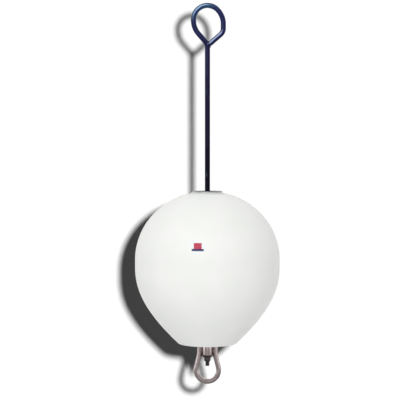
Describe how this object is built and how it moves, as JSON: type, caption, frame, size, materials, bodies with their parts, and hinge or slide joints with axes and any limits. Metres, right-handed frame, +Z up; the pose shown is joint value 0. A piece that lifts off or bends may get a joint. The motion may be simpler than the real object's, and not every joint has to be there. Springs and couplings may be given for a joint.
{
  "type": "anchor marker buoy",
  "caption": "White float on a steel rod, with a bent lifting eye on top and a swivel bow below for the anchor chain.",
  "frame": {"origin": "where a hook bears in the lifting eye: the inside of the eye's top, on the rod's axis", "axes": "+Z up along the rod, as the buoy hangs and floats; +X to the side that the eye's welded tail is on, seen from the front, which is -Y; the eye and the bow lie in the XZ plane"},
  "size_m": [0.4, 0.4, 1.0531],
  "materials": {
    "white_moulding": "satin",
    "navy_coating": "gloss",
    "galvanised_steel": "satin",
    "bright_steel": "gloss",
    "fastener_steel": "satin"
  },
  "bodies": {
    "buoy": {"float_body": "white_moulding", "eye_rod": "navy_coating", "top_plate": "galvanised_steel", "bottom_plate": "galvanised_steel", "bow_washer": "fastener_steel", "lock_nut": "fastener_steel"},
    "swivel": {"swivel_bow": "bright_steel"}
  },
  "joints": [
    {"name": "bow_swivel", "type": "hinge", "parent": "buoy", "child": "swivel", "pos_m": [0, 0, -0.9445], "axis": [0, 0, 1], "continuous": true}
  ]
}
